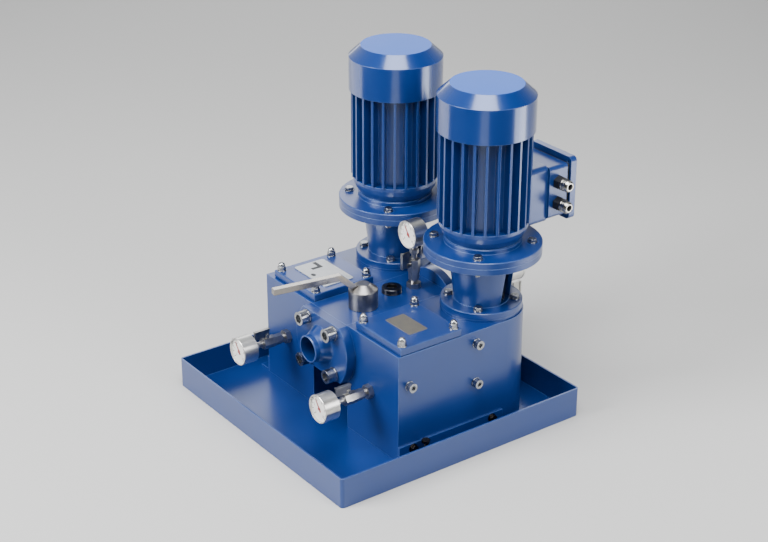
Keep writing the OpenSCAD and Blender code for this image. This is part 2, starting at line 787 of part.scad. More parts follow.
spot_t = 0.5;
spot_r = 10.5;
nut_t = 6.5;
module motor_bolts() {
    grip = motor_flange_t - spot_t + lantern_flange_t;
    color(steel) for (s = SIDES) translate([side_x(s), shaft_back, flange_top_z - spot_t])
        at_corners(motor_bolt) {
            hex_bolt(m8_r, m8_af, m8_head, grip + nut_t + 3);
            translate([0, 0, -grip - nut_t]) difference() {
                hex(m8_af, nut_t);
                translate([0, 0, -1]) cylinder(r = m8_r + 0.05, h = nut_t + 2);
            }
        }
}

// Motors

motor_shaft_r = motor_shaft_d / 2;
stator_r = 54;
stator_bore_r = 40;
rotor_r = stator_bore_r - 0.5;
core_z = frame_z + 42;
core_h = 90;
winding_h = 16;
register_h = 4;
seat_up = 17;
drive_bearing_z = lantern_top_z + seat_up;
rear_seat_down = 10;
rear_bearing_z = frame_top_z - rear_seat_down;
step_r = 66;
foot_cup_r = 63;
shoulder_cup_r = 72;
cup_r = 75;

// Drive end shield: flange, step ring and cup, with the bearing seat inside
module endshield(s) {
    h = motor_flange_t + endshield_h;
    translate([side_x(s), shaft_back, lantern_top_z]) difference() {
        rotate_extrude() polygon([
            [motor_shaft_r + 1, seat_up - 4], [34, seat_up - 4], [40, -spigot_h], [spigot_r, -spigot_h],
            [spigot_r, 0], [motor_flange_r, 0], [motor_flange_r, motor_flange_t - 1],
            [motor_flange_r - 1, motor_flange_t], [step_r, motor_flange_t],
            [step_r, motor_flange_t + 7], [step_r - 1, motor_flange_t + 8],
            [foot_cup_r, motor_flange_t + 8], [shoulder_cup_r, h - 15], [cup_r, h - 6], [cup_r, h],
            [stator_r - fit, h], [stator_r - fit, h + register_h], [stator_r - 4, h + register_h],
            [stator_r - 4, h - 14], [30, h - 24], [30, seat_up + bearing_w],
            [bearing_r, seat_up + bearing_w], [bearing_r, seat_up], [motor_shaft_r + 1, seat_up]
        ]);
        at_corners(motor_bolt) {
            translate([0, 0, -1]) cylinder(r = m8_r + fit, h = motor_flange_t + 2);
            translate([0, 0, motor_flange_t - spot_t]) cylinder(r = spot_r, h = 8);
        }
    }
}
module endshield_left() { color(paint) endshield(-1); }
module endshield_right() { color(paint) endshield(1); }

tneck_w = 86;
tneck_z = frame_z - 18;
tneck_h = 100;

// Fin at an angle; a fin over the neck of the terminal box starts above the neck
fin_inset = 1;
module fin(a) {
    over_neck = sin(a) > 0 && abs(body_r * cos(a)) < tneck_w / 2 + fin_t;
    low = over_neck ? tneck_z + tneck_h - frame_z + 1 : fin_inset;
    rotate([0, 0, a]) translate([body_r - 2, -fin_t / 2, low])
        cube([fin_r - body_r + 2, fin_t, frame_len - fin_inset - low]);
}

module finned_frame(s) {
    translate([side_x(s), shaft_back, frame_z]) difference() {
        union() {
            cylinder(r = body_r, h = frame_len);
            for (k = [1 : fin_count]) fin((k - 0.5) * 360 / fin_count);
        }
        translate([0, 0, -1]) cylinder(r = stator_r, h = frame_len + 2);
        // cable hole into the terminal box
        translate([0, 0, tneck_z + tneck_h / 2 - frame_z + 20]) rod_y(12, body_r + 5);
    }
}
module finned_frame_left() { color(paint) finned_frame(-1); }
module finned_frame_right() { color(paint) finned_frame(1); }

// Stator cores with their winding ends
module stators() {
    color(dark_steel) for (s = SIDES) translate([side_x(s), shaft_back, core_z]) {
        ring(stator_r - fit, stator_bore_r, core_h);
        for (z = [-winding_h, core_h]) translate([0, 0, z])
            ring(stator_r - 3, stator_bore_r + 2, winding_h);
    }
}

rear_shield_t = 8;
cowl_sheet = 1.5;
module rear_shields() {
    color(paint) for (s = SIDES) translate([side_x(s), shaft_back, frame_top_z]) {
        rotate_extrude() polygon([
            [bearing_r, -rear_seat_down], [bearing_r + 6.5, -rear_seat_down], [bearing_r + 6.5, 0],
            [stator_r - 6, 0], [stator_r - 6, -register_h], [stator_r - fit, -register_h],
            [stator_r - fit, 0], [body_r, 0], [body_r, rear_shield_t - 1], [body_r - 1, rear_shield_t],
            [motor_shaft_r + 1, rear_shield_t], [motor_shaft_r + 1, bearing_w - rear_seat_down],
            [bearing_r, bearing_w - rear_seat_down]
        ]);
        for (a = [45 : 90 : 315]) rotate([0, 0, a])
            translate([body_r - 2, -7, 1]) cube([cowl_r - cowl_sheet - 0.6 - body_r + 2, 14, rear_shield_t - 3]);
    }
}

cowl_shoulder = 59;
cowl_top_r = 61;
module fan_cowl(s) {
    slope = cowl_sheet * 0.6;
    translate([side_x(s), shaft_back, cowl_z]) rotate_extrude() polygon([
        [cowl_r - cowl_sheet, 0], [cowl_r, 0], [cowl_r, cowl_shoulder], [cowl_top_r, cowl_h],
        [0, cowl_h], [0, cowl_h - cowl_sheet], [cowl_top_r - slope, cowl_h - cowl_sheet],
        [cowl_r - cowl_sheet, cowl_shoulder - slope]
    ]);
}
module fan_cowl_left() { color(paint) fan_cowl(-1); }
module fan_cowl_right() { color(paint) fan_cowl(1); }

fan_z = frame_top_z + 15;
fan_r = 60;
fan_h = 20;
fan_blades = 7;
rotor_top_z = fan_z + fan_h + 1;
rotor_low_z = lantern_top_z - 40;

module motor_rotor(s) {
    translate([side_x(s), shaft_back, 0]) {
        translate([0, 0, rotor_low_z]) cylinder(r = motor_shaft_r, h = rotor_top_z - rotor_low_z);
        translate([0, 0, core_z - 10]) cylinder(r = race_in_r - 0.4, h = core_h + 20);
        translate([0, 0, core_z]) cylinder(r = rotor_r, h = core_h);
        for (z = [drive_bearing_z, rear_bearing_z]) translate([0, 0, z]) inner_race(motor_shaft_r);
    }
}
module motor_rotor_left() { color(dark_steel) motor_rotor(-1); }
module motor_rotor_right() { color(dark_steel) motor_rotor(1); }

module fan(s) {
    hub_r = 17;
    translate([side_x(s), shaft_back, fan_z]) difference() {
        union() {
            cylinder(r = hub_r, h = fan_h);
            cylinder(r = fan_r - 15, h = 2);
            for (k = [1 : fan_blades]) rotate([0, 0, k * 360 / fan_blades])
                translate([hub_r - 3, -1.25, 0]) cube([fan_r - hub_r + 3, 2.5, fan_h - 3]);
        }
        translate([0, 0, -1]) cylinder(r = motor_shaft_r + fit, h = fan_h + 2);
    }
}
module fan_left() { color("Black") fan(-1); }
module fan_right() { color("Black") fan(1); }

// Jaw coupling

coupling_r = 27;
hub_len = 26;
spider_t = 12;
jaw_half = 21;
jaw_in_r = 15;

// One hub with its jaws above it, seated at z = 0
module jaw_hub(shaft_r) {
    difference() {
        cylinder(r = coupling_r, h = hub_len);
        translate([0, 0, -1]) cylinder(r = shaft_r + fit, h = hub_len + 2);
        translate([0, 0, hub_len * 0.4]) rod_x(2.5, coupling_r + 1);
    }
    for (a = [0, 120, 240]) rotate([0, 0, a]) intersection() {
        translate([0, 0, hub_len - 1]) ring(coupling_r - 0.8, jaw_in_r, spider_t);
        translate([0, 0, hub_len - 2]) linear_extrude(spider_t + 2)
            polygon([[0, 0], polar(2 * coupling_r, -jaw_half), polar(2 * coupling_r, jaw_half)]);
    }
}

module coupling(s) {
    low_z = pump_shaft_top_z - 31.5;
    translate([side_x(s), shaft_back, low_z]) {
        jaw_hub(drive_shaft_r);
        translate([0, 0, 2 * hub_len + spider_t]) rotate([180, 0, 0]) rotate([0, 0, 60]) jaw_hub(motor_shaft_r);
        // elastic star between the jaws
        translate([0, 0, hub_len + 0.1]) difference() {
            union() {
                cylinder(r = jaw_in_r - 0.5, h = spider_t - 0.2);
                for (a = [30 : 60 : 330]) rotate([0, 0, a])
                    translate([10, -2, 0]) cube([coupling_r - 11, 4, spider_t - 0.2]);
            }
            translate([0, 0, -1]) cylinder(r = drive_shaft_r + 1, h = spider_t + 2);
        }
    }
}
module coupling_left() { color(dark_steel) coupling(-1); }
module coupling_right() { color(dark_steel) coupling(1); }

// Terminal boxes behind the motors

lid_t = 12;
lid_w = tbox_w + 8;
lid_h = 112;
tbox_h = 92;
tbox_d = 39;
tbox_gasket_t = 4;
tbox_up = 393;
tbox_near = tbox_reach - lid_t - tbox_gasket_t - tbox_d;
lid_screw_x = lid_w / 2 - 9;
lid_screw_z = lid_h / 2 - 9;

// Slab that stands up, with its near face at the given distance behind a motor shaft
module back_slab(s, near, w, h, d, r, mid_z) {
    translate([side_x(s), shaft_back + near, mid_z]) rotate([-90, 0, 0]) rounded_slab(w, h, d, r);
}

// Places of the glands on a box's outer side, +Z outwards
module gland_points(s) {
    for (z = [-1, 1])
        translate([side_x(s) + s * tbox_w / 2, shaft_back + tbox_near + tbox_d / 2,
                   tbox_up - 1.5 + z * gland_pitch / 2])
            rotate([0, s * 90, 0]) children();
}

module terminal_boxes() {
    color(paint) for (s = SIDES) difference() {
        union() {
            back_slab(s, tbox_near, tbox_w, tbox_h, tbox_d, 6, tbox_up);
            back_slab(s, 20, tneck_w, tneck_h, tbox_near - 19, 8, tneck_z + tneck_h / 2);
        }
        back_slab(s, tbox_near + 4, tbox_w - 8, tbox_h - 8, tbox_d, 3, tbox_up);
        translate([side_x(s), shaft_back, tneck_z - 1]) cylinder(r = cup_r + 1, h = frame_z - tneck_z + 1.2);
        translate([side_x(s), shaft_back, frame_z]) cylinder(r = body_r + fit, h = tneck_h);
        translate([side_x(s), shaft_back, tneck_z + tneck_h / 2 + 20]) rod_y(12, tbox_near + 10);
        gland_points(s) translate([0, 0, -6]) cylinder(r = gland_thread_r, h = 8);
    }
}

module terminal_lids() {
    color(paint) for (s = SIDES) {
        difference() {
            back_slab(s, tbox_reach - lid_t, lid_w, lid_h, lid_t, 8, tbox_up);
            back_slab(s, tbox_reach - lid_t - 1, tbox_w - 12, tbox_h - 12, lid_t - 3, 4, tbox_up);
            lid_screw_points(s) translate([0, 0, -20]) cylinder(r = 2.6, h = 30);
        }
        lid_screw_points(s) socket_screw(2.5, 4.5, 4, lid_t - 1, 4);
    }
}

// Places of the lid screws, +Z outwards
module lid_screw_points(s) {
    for (x = [-1, 1], z = [-1, 1])
        translate([side_x(s) + x * lid_screw_x, shaft_back + tbox_reach, tbox_up + z * lid_screw_z])
            rotate([-90, 0, 0]) children();
}

gland_thread_r = 8;
gland_af = 22;
gland_hex_h = 12;
gland_cap_r = 10;
cable_r = 5;
module cable_glands() {
    collar = gland_hex_h + 4;
    dome = collar + 9;
    color("Gray") for (s = SIDES) gland_points(s) difference() {
        union() {
            translate([0, 0, -6]) cylinder(r = gland_thread_r - fit, h = 7);
            hex(gland_af, gland_hex_h);
            translate([0, 0, gland_hex_h]) cylinder(r = gland_cap_r - 1, h = collar - gland_hex_h);
            translate([0, 0, collar]) cylinder(r = gland_cap_r, h = dome - collar);
            translate([0, 0, dome]) cylinder(r1 = gland_cap_r, r2 = gland_cap_r - 2.5, h = 4);
        }
        translate([0, 0, -7]) cylinder(r = cable_r, h = dome + 12);
    }
}

// Changeover lever

hub_gap = 0.3;
hub_base_z = top_z + hub_gap;
hub_cyl_h = hub_h - 14.8;
hub_nose_r = 9.7;
port_r = 13;
spindle_low_z = block_z + 12 + hub_gap;
bar_foot = [6.7, 30];
bar_bend = 44.7;

module lever_hub() {
    color(dark_steel) translate([lever_x, lever_y, 0]) rotate([0, 0, -lever_turn]) difference() {
        union() {
            translate([0, 0, hub_base_z]) cylinder(r = hub_d / 2, h = hub_cyl_h);
            translate([0, 0, hub_base_z + hub_cyl_h]) cylinder(r1 = hub_d / 2, r2 = hub_nose_r, h = 14.8);
            translate([0, 0, spindle_low_z]) cylinder(r = spindle_r - fit, h = hub_base_z - spindle_low_z + 1);
        }
        // passage from the inlet to both housings
        translate([0, -spindle_r - 1, port_z]) rod_y(port_r, spindle_r + 1);
        translate([-spindle_r - 1, 0, port_z]) rod_x(port_r, 2 * spindle_r + 2);
        // slanted socket of the lever bar
        lever_bar_shape(0.05, 200);
    }
}

// The lever bar in its upright plane, larger by grow all round, up to a distance from the hub's axis
module lever_bar_shape(grow, reach) {
    half = lever_bar / 2 + grow;
    rise = lever_rise - lever_bar / 2;
    dz = rise - bar_foot[1];
    slope = atan2(dz, bar_bend - bar_foot[0]);
    // half the bend's angle sets how far the two runs are cut back at the corner
    corner = half * tan(slope / 2);
    translate([-half, 0, top_z]) rotate([90, 0, 90]) linear_extrude(2 * half) polygon([
        [-bar_foot[0] + half * sin(slope), bar_foot[1] + half * cos(slope)],
        [-bar_foot[0] - half * sin(slope), bar_foot[1] - half * cos(slope)],
        [-bar_bend - corner, rise - half],
        [-reach, rise - half], [-reach, rise + half],
        [-bar_bend + corner, rise + half]
    ]);
}

module lever_arm() {
    color(steel) translate([lever_x, lever_y, 0]) rotate([0, 0, -lever_turn]) difference() {
        lever_bar_shape(0, lever_reach);
        // chamfered end
        for (a = [45, -45]) translate([0, -lever_reach, top_z + lever_rise - lever_bar / 2])
            rotate([a, 0, 0]) translate([-lever_bar, -lever_bar - 4.2, -lever_bar])
                cube([2 * lever_bar, lever_bar, 2 * lever_bar]);
    }
}

// Relief valve in the top of the centre block

relief_washer_t = 2;
relief_head_r = 18;
relief_head_h = 8;
relief_body_z = top_z - 14;
spring_r = 6.9;
spring_wire = 1.15;
spring_step = 2;
spring_coils = 10;
piston_h = 10;
piston_floor = 3;

module relief_plug() {
    color(dark_steel) translate([relief_x, relief_y, 0]) {
        translate([0, 0, top_z]) ring(relief_head_r, piston_r + 0.3, relief_washer_t);
        difference() {
            union() {
                translate([0, 0, top_z + relief_washer_t]) cylinder(r = relief_head_r - 0.5, h = relief_head_h - 1);
                translate([0, 0, top_z + relief_washer_t + relief_head_h - 1])
                    cylinder(r1 = relief_head_r - 0.5, r2 = relief_head_r - 1.5, h = 1);
                translate([0, 0, relief_body_z]) cylinder(r = piston_r - fit, h = top_z + 3 - relief_body_z);
            }
            translate([0, 0, relief_body_z - 1]) cylinder(r = 8.5, h = top_z - 1 - relief_body_z);
            translate([0, 0, top_z + relief_washer_t + 2]) hex(17, relief_head_h);
        }
    }
}

module relief_piston() {
    color(steel) translate([relief_x, relief_y, piston_seat_z + fit]) {
        difference() {
            cylinder(r = piston_r - fit, h = piston_h);
            translate([0, 0, piston_floor]) cylinder(r = 9, h = piston_h);
        }
        translate([0, 0, piston_floor + spring_wire]) rotate_extrude()
            for (k = [0 : spring_coils - 1])
                translate([spring_r, k * spring_step]) circle(r = spring_wire, $fn = 12);
    }
}

// Gauges, their cocks and handles

gauge_stem = 26;
stem_back = 12.1;
elbow = 22;
elbow_y = 211;
port_thread_r = 6;
case_r = gauge_d / 2 - 0.5;
dial_r = gauge_d / 2 - 1.7;
dial_depth = 4.6;
dial_t = 0.8;
window_t = 1;
window_in = 0.6;
bezel_t = 4;
pointer_angle = 35;
handle_d = [40, 45, 70];
handle_off = [10.5, 27];
handle_t = 3;
stem_r = 4;

// Backs of the four gauge cases, +Z out of the dial and +Y up: left, right, top, rear
module gauge_point(i) {
    if (i < 2) front_gauge_point(SIDES[i]) translate([0, 0, cock_len]) children();
    if (i == 2) translate([0, top_gauge_y + stem_back, top_z + cock_len + gauge_stem])
        rotate([90, 0, 0]) children();
    if (i == 3) translate([rear_port_x, elbow_y - stem_back, rear_cock_z() + cock_len + gauge_stem])
        rotate([90, 0, 180]) children();
}
function rear_cock_z() = floor_z + rear_port_up + elbow / 2;

// Seats of the four gauge cocks, +Z along the cock and +Y towards its handle
module cock_point(i) {
    if (i < 2) front_gauge_point(SIDES[i]) children();
    if (i == 2) translate([0, top_gauge_y, top_z]) rotate([0, 0, 180]) children();
    if (i == 3) translate([rear_port_x, elbow_y, rear_cock_z()]) children();
}

module cock() {
    difference() {
        union() {
            hex(22, 10);
            translate([0, 0, 9]) cylinder(r = 5.5, h = 8);
            translate([0, 0, 16]) hex(17, 14);
            translate([0, 0, 30]) hex(19, 24);
            translate([0, 0, 53]) cylinder(r = 5, h = cock_len - 53);
            translate([0, 0, cock_len - 12]) hex(14, 8);
        }
        translate([0, 0, -1]) cylinder(r = 2, h = cock_len + 2);
        translate([0, 4, handle_d[1]]) rod_y(stem_r + run, 20);
    }
}

module gauge_cocks() {
    color(steel) {
        for (i = [0 : 3]) cock_point(i) {
            cock();
            if (i < 3) translate([0, 0, -14]) ring(port_thread_r, 2, 14);
        }
        translate([rear_port_x, rear_flat_y, floor_z + rear_port_up]) {
            translate([0, -12, 0]) rod_y(port_thread_r, 14);
            rotate([-90, 0, 0]) hex(20, elbow_y - elbow / 2 - rear_flat_y);
            translate([-elbow / 2, elbow_y - elbow / 2 - rear_flat_y, -elbow / 2]) cube(elbow);
        }
    }
}

module gauge_cases() {
    color(steel) for (i = [0 : 3]) gauge_point(i) difference() {
        union() {
            cylinder(r = case_r, h = gauge_depth - bezel_t);
            translate([0, 0, gauge_depth - bezel_t]) rotate_extrude()
                polygon([[0, 0], [gauge_d / 2, 0], [gauge_d / 2, bezel_t - 0.6],
                         [gauge_d / 2 - 0.6, bezel_t], [0, bezel_t]]);
            if (i > 1) translate([0, 0, stem_back]) rotate([90, 0, 0]) cylinder(r = 6.5, h = gauge_stem);
        }
        translate([0, 0, gauge_depth - dial_depth]) cylinder(r = dial_r, h = dial_depth + 1);
    }
}

module gauge_dials() {
    color("White") for (i = [0 : 3]) gauge_point(i)
        translate([0, 0, gauge_depth - dial_depth]) cylinder(r = dial_r - 0.2, h = dial_t);
}

module gauge_windows() {
    color("LightCyan", 0.4) for (i = [0 : 3]) gauge_point(i)
        translate([0, 0, gauge_depth - window_in - window_t]) cylinder(r = dial_r - fit, h = window_t);
}

// Pointer just above the dial, turned to its stored reading
module pointer(i) {
    gauge_point(i) translate([0, 0, gauge_depth - dial_depth + dial_t + 0.3])
        rotate([0, 0, pointer_angle]) {
            cylinder(r = 2.6, h = 1.5);
            linear_extrude(0.9) polygon([[-1.4, -6], [1.4, -6], [0.5, dial_r - 5], [-0.5, dial_r - 5]]);
        }
}
module pointer_left() { color("Red") pointer(0); }
module pointer_right() { color("Red") pointer(1); }
module pointer_top() { color("Red") pointer(2); }
module pointer_rear() { color("Red") pointer(3); }

// Flat key on its stem, with a lip along the outer edge
module cock_handle(i) {
    cock_point(i) {
        translate([0, 4.5, handle_d[1]]) rod_y(stem_r, handle_off[0] - 4.5 + 6);
        translate([-handle_t / 2, handle_off[0], handle_d[0]])
            cube([handle_t, handle_off[1] - handle_off[0], handle_d[2] - handle_d[0]]);
        translate([-handle_t, handle_off[1] - 2.5, handle_d[0]])
            cube([2 * handle_t, 2.5, handle_d[2] - handle_d[0]]);
    }
}
module cock_handle_left() { color(steel) cock_handle(0); }
module cock_handle_right() { color(steel) cock_handle(1); }
module cock_handle_top() { color(steel) cock_handle(2); }
module cock_handle_rear() { color(steel) cock_handle(3); }

// Draw the chosen piece
drip_tray();
foot_angles();
m8_bolts();
housing_left();
housing_right();
centre_block();
inlet_flange();
outlet_flange();
flange_screws();
seals();
filter_covers();
cover_nuts();
strainers();
cover_plates();
port_plugs();
seal_covers();
lantern_left();
lantern_right();
motor_bolts();
endshield_left();
endshield_right();
finned_frame_left();
finned_frame_right();
stators();
rear_shields();
fan_cowl_left();
fan_cowl_right();
terminal_boxes();
terminal_lids();
cable_glands();
screw_inserts();
ball_bearings();
gauge_cocks();
gauge_cases();
gauge_dials();
gauge_windows();
relief_plug();
relief_piston();
motor_rotor_left();
motor_rotor_right();
fan_left();
fan_right();
coupling_left();
coupling_right();
drive_screw_left();
drive_screw_right();
idler_left_front();
idler_left_rear();
idler_right_front();
idler_right_rear();
lever_hub();
lever_arm();
cock_handle_left();
cock_handle_right();
cock_handle_top();
cock_handle_rear();
pointer_left();
pointer_right();
pointer_top();
pointer_rear();
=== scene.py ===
"""Looks of a vertical screw pump station on its drip tray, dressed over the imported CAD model."""

import math

import bpy
from mathutils import Matrix, Vector


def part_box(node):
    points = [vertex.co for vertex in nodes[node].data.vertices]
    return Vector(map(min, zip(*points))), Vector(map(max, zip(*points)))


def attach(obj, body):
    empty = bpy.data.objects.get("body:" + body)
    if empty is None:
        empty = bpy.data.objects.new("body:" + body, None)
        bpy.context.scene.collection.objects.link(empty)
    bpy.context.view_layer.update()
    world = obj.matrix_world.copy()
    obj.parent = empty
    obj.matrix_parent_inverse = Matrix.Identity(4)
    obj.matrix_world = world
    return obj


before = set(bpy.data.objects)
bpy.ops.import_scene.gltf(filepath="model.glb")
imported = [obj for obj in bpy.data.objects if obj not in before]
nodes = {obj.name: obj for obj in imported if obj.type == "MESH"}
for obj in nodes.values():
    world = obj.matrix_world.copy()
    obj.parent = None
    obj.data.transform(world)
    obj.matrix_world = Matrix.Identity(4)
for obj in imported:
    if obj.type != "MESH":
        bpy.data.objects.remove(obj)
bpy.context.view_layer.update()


# Drip tray and foot angles: folded 3 mm sheet steel, corners welded and ground round, the angles
# bolted to pump housings and tray. Sprayed gentian blue enamel, semi-gloss, a little orange peel.

MM = 0.001


def linear(code):
    """Turns an sRGB hex colour into linear RGBA."""
    parts = [int(code[i:i + 2], 16) / 255 for i in (1, 3, 5)]
    return tuple(c / 12.92 if c < 0.04046 else ((c + 0.055) / 1.055) ** 2.4 for c in parts) + (1.0,)


def add(tree, kind, settings=None, links=None):
    """Adds one shader node with its settings and its links from other sockets."""
    made = tree.nodes.new("ShaderNode" + kind)
    for key, value in (settings or {}).items():
        if isinstance(key, int) or key in made.inputs:
            made.inputs[key].default_value = value
        else:
            setattr(made, key, value)
    for key, socket in (links or {}).items():
        tree.links.new(socket, made.inputs[key])
    return made


def new_material(name):
    """A material with its surface shader, and the place on the piece in metres."""
    material = bpy.data.materials.new(name)
    material.use_nodes = True
    tree = material.node_tree
    tree.nodes.clear()
    surface = add(tree, "BsdfPrincipled")
    add(tree, "OutputMaterial", links={"Surface": surface.outputs["BSDF"]})
    return material, tree, surface, add(tree, "TexCoord").outputs["Object"]


def rounded_normal(tree, radius_mm):
    """Normal of the piece with its edges broken to a radius, and a mask of those edges."""
    bevel = add(tree, "Bevel", {"Radius": radius_mm * MM, "samples": 6})
    flat = add(tree, "NewGeometry")
    dot = add(tree, "VectorMath", {"operation": "DOT_PRODUCT"},
              {0: bevel.outputs["Normal"], 1: flat.outputs["Normal"]})
    mask = add(tree, "MapRange", {"From Min": 0.99, "From Max": 0.82}, {"Value": dot.outputs["Value"]})
    return bevel.outputs["Normal"], mask.outputs["Result"]


def dress(material, *names):
    """Gives CAD nodes a material."""
    for name in names:
        for mesh_slot in nodes[name].material_slots:
            mesh_slot.material = material
        if not nodes[name].material_slots:
            nodes[name].data.materials.append(material)


# sprayed coats lie in clouds about a hand wide, where colour and gloss drift a little
cloud_mm = 110


def blue_enamel(name, peel_mm, peel_height_mm, edge_mm, roughness):
    """Two-pack gentian blue enamel: a dielectric over pigment, paler where it runs thin on edges."""
    material, tree, surface, place = new_material(name)
    cloud = add(tree, "TexNoise", {"Scale": 1 / (cloud_mm * MM), "Detail": 3.0}, {"Vector": place})
    body = add(tree, "Mix", {"data_type": "RGBA", 6: linear("#012560"), 7: linear("#032E71")},
               {0: cloud.outputs["Fac"]})
    normal, edge = rounded_normal(tree, edge_mm)
    thin = add(tree, "Math", {"operation": "MULTIPLY", 1: 0.45}, {0: edge})
    colour = add(tree, "Mix", {"data_type": "RGBA", 7: linear("#6F92CE")},
                 {0: thin.outputs["Value"], 6: body.outputs[2]})
    tree.links.new(colour.outputs[2], surface.inputs["Base Color"])
    peel = add(tree, "TexNoise", {"Scale": 1 / (peel_mm * MM), "Detail": 2.0}, {"Vector": place})
    gloss = add(tree, "MapRange", {"To Min": roughness - 0.05, "To Max": roughness + 0.07},
                {"Value": cloud.outputs["Fac"]})
    tree.links.new(gloss.outputs["Result"], surface.inputs["Roughness"])
    bump = add(tree, "Bump", {"Strength": 0.35, "Distance": peel_height_mm * MM},
               {"Height": peel.outputs["Fac"], "Normal": normal})
    tree.links.new(bump.outputs["Normal"], surface.inputs["Normal"])
    surface.inputs["IOR"].default_value = 1.52
    surface.inputs["Specular IOR Level"].default_value = 0.85
    surface.inputs["Specular Tint"].default_value = linear("#B4CBFF")
    surface.inputs["Coat Weight"].default_value = 0.7
    surface.inputs["Coat IOR"].default_value = 1.52
    surface.inputs["Coat Roughness"].default_value = 0.24
    return material


# orange peel of sprayed enamel is 1 to 2 mm wide; it is drawn 3 mm wide to show at this distance
enamel_on_sheet = blue_enamel("gentian_blue_enamel_sprayed_on_sheet_steel", 3.0, 0.03, 1.6, 0.34)
dress(enamel_on_sheet, "drip_tray", "foot_angles")


# Pump housings, centre block, seal covers and pipe flanges: grey iron and forged steel, machined on
# their joint faces, screwed together, then filled and sprayed with the same enamel.

# cast skin leaves a faint long wave under the gloss, so edges run rounder and mirrors blur more
enamel_on_iron = blue_enamel("gentian_blue_enamel_sprayed_on_cast_iron", 4.5, 0.06, 2.0, 0.36)
dress(enamel_on_iron, "housing_left", "housing_right", "centre_block", "seal_covers",
      "inlet_flange", "outlet_flange")


# Hexagon bolts, cap nuts, socket screws and plugs: pressed and turned steel, bright zinc plated, with
# washers under their heads. The bolts down on the tray are black oiled steel instead.

# handling leaves a mottle about 12 mm wide on bare metal
mottle_mm = 12


def bright_steel(name, colour, dark, roughness, mark_mm, stretch=(1.0, 1.0, 1.0), edge_mm=0.5):
    """Metal with marks as wide as mark_mm, drawn out by stretch along the way it was worked."""
    material, tree, surface, place = new_material(name)
    surface.inputs["Metallic"].default_value = 1.0
    drawn = add(tree, "Mapping", {"Scale": stretch}, {"Vector": place})
    marks = add(tree, "TexNoise", {"Scale": 1 / (mark_mm * MM), "Detail": 4.0},
                {"Vector": drawn.outputs["Vector"]})
    mottle = add(tree, "TexNoise", {"Scale": 1 / (mottle_mm * MM), "Detail": 2.0}, {"Vector": place})
    tint = add(tree, "Mix", {"data_type": "RGBA", 6: linear(dark), 7: linear(colour)},
               {0: mottle.outputs["Fac"]})
    tree.links.new(tint.outputs[2], surface.inputs["Base Color"])
    shine = add(tree, "MapRange", {"To Min": roughness - 0.08, "To Max": roughness + 0.1},
                {"Value": marks.outputs["Fac"]})
    tree.links.new(shine.outputs["Result"], surface.inputs["Roughness"])
    normal, _ = rounded_normal(tree, edge_mm)
    bump = add(tree, "Bump", {"Strength": 0.25, "Distance": 0.02 * MM},
               {"Height": marks.outputs["Fac"], "Normal": normal})
    tree.links.new(bump.outputs["Normal"], surface.inputs["Normal"])
    return material


# plating gives a soft pale metal with faint turning marks and a darker mottle
zinc_plated = bright_steel("zinc_plated_turned_steel", "#C6C7C9", "#7C7F84", 0.24, 0.8)
dress(zinc_plated, "motor_bolts", "cover_nuts", "flange_screws", "port_plugs")


def two_colours(material, source, axis, low, high, below=None, above=None):
    """Colours part of a piece anew, below or above a place in metres or a lie of the faces.

    A side that is given no colour keeps its own. Returns the tree, the shader and the mask."""
    tree = material.node_tree
    surface = next(n for n in tree.nodes if n.type == "BSDF_PRINCIPLED")
    first = surface.inputs["Base Color"].links[0].from_socket
    kind, output = {"place": ("TexCoord", "Object"), "normal": ("NewGeometry", "Normal")}[source]
    measured = add(tree, kind).outputs[output]
    part = add(tree, "SeparateXYZ", links={0: measured})
    mask = add(tree, "MapRange", {"From Min": low, "From Max": high}, {"Value": part.outputs[axis]})
    both = add(tree, "Mix", {"data_type": "RGBA"}, {0: mask.outputs["Result"]})
    for socket, colour in ((both.inputs[6], below), (both.inputs[7], above)):
        if isinstance(colour, str):
            socket.default_value = linear(colour)
        else:
            tree.links.new(colour or first, socket)
    tree.links.new(both.outputs[2], surface.inputs["Base Color"])
    return tree, surface, mask.outputs["Result"]


# plated on the lanterns, oiled black down on the tray, where only the heads' rims catch light
two_finishes = bright_steel("hexagon_bolts_plated_above_and_blackened_below", "#C6C7C9", "#7C7F84",
                            0.26, 0.8)
two_colours(two_finishes, "place", "Z", 100 * MM, 110 * MM, below="#3A3633")
dress(two_finishes, "m8_bolts")


# Filter covers: machined square steel plates over the filter chambers, broken edges, sprayed blue, held
# by four cap nuts each. Under them hang the strainers, rolled and spot welded stainless gauze.

dress(enamel_on_sheet, "filter_covers")
# woven wire scatters light into a dull grey metal
stainless_gauze = bright_steel("stainless_gauze_woven", "#C4C4C0", "#6E6E6A", 0.38, 0.6)
dress(stainless_gauze, "strainers")


# Gaskets, O-rings and shaft seals: moulded or stamped black nitrile rubber, pressed in grooves and
# between joint faces, so only thin dark edges of them show.


# wax comes out of rubber and plastic in patches about 18 mm wide
bloom_mm = 18


